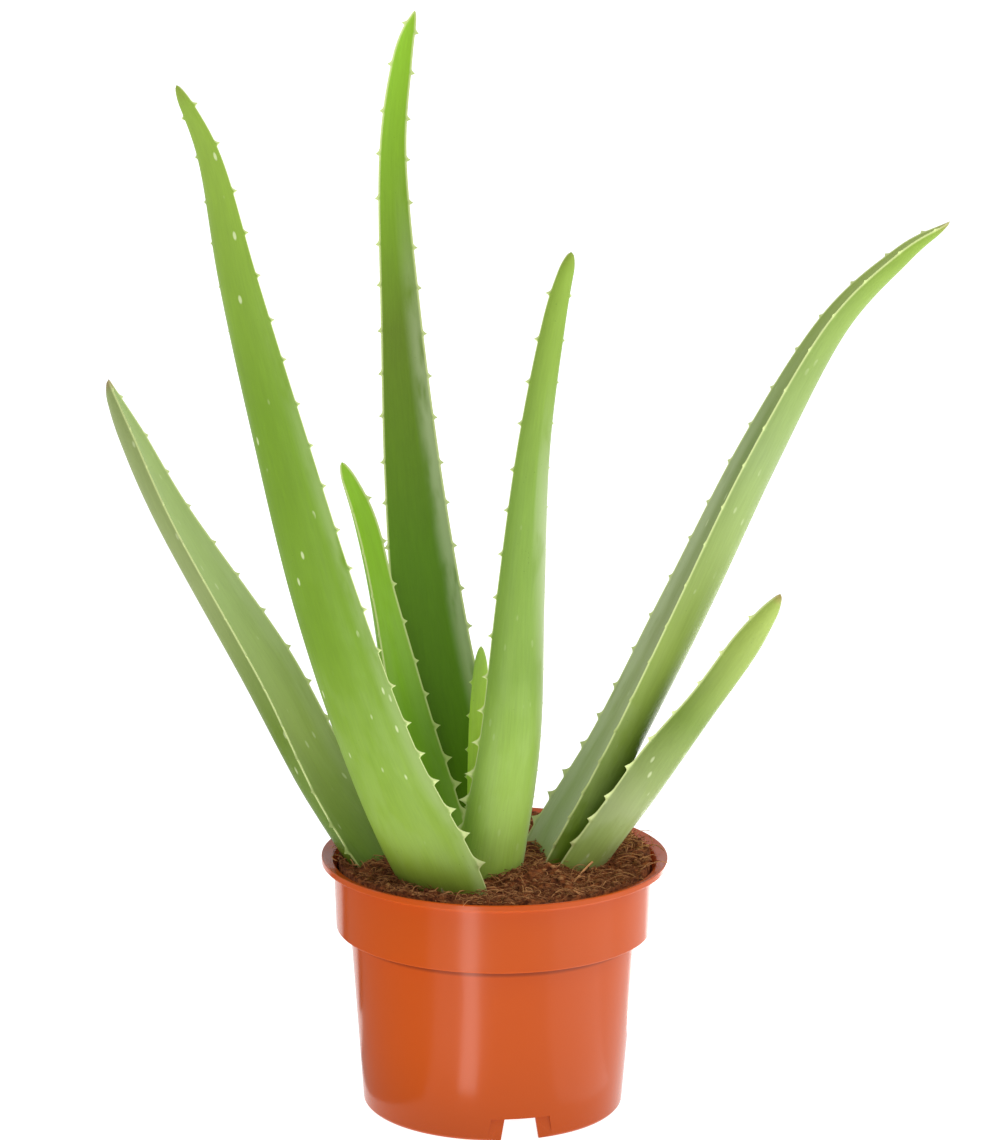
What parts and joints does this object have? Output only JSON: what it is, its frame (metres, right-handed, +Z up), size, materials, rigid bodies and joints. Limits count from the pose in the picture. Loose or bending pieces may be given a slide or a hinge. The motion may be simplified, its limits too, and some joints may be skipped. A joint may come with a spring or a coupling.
{
  "type": "potted aloe plant",
  "caption": "Young aloe plant: long, tapering leaves with toothed edges fan out from a short stem in a round plastic nursery pot filled with coir potting mix.",
  "frame": {"origin": "middle of the pot's underside, on the surface that it stands on", "axes": "+Z up through the pot's axis; -Y is the front, where one drain notch is in view; +X is to the right as seen from the front"},
  "size_m": [0.29, 0.1278, 0.376],
  "materials": {
    "pot_plastic": "glossy terracotta-coloured moulded plastic",
    "coir_mix": "matt, crumbly and fibrous",
    "stem_bark": "dry and matt",
    "leaf_light_green": "smooth waxy skin with a soft sheen",
    "leaf_deep_green": "smooth waxy skin with a soft sheen"
  },
  "bodies": {
    "root": {"pot": "pot_plastic", "potting_mix": "coir_mix", "stem_and_roots": "stem_bark", "leaf_centre_small": "leaf_light_green", "leaf_inner_left": "leaf_deep_green", "leaf_tall_back": "leaf_deep_green", "leaf_front_right": "leaf_light_green", "leaf_long_right": "leaf_light_green", "leaf_front_left": "leaf_light_green", "leaf_low_left": "leaf_light_green", "leaf_low_right": "leaf_light_green"}
  },
  "joints": []
}
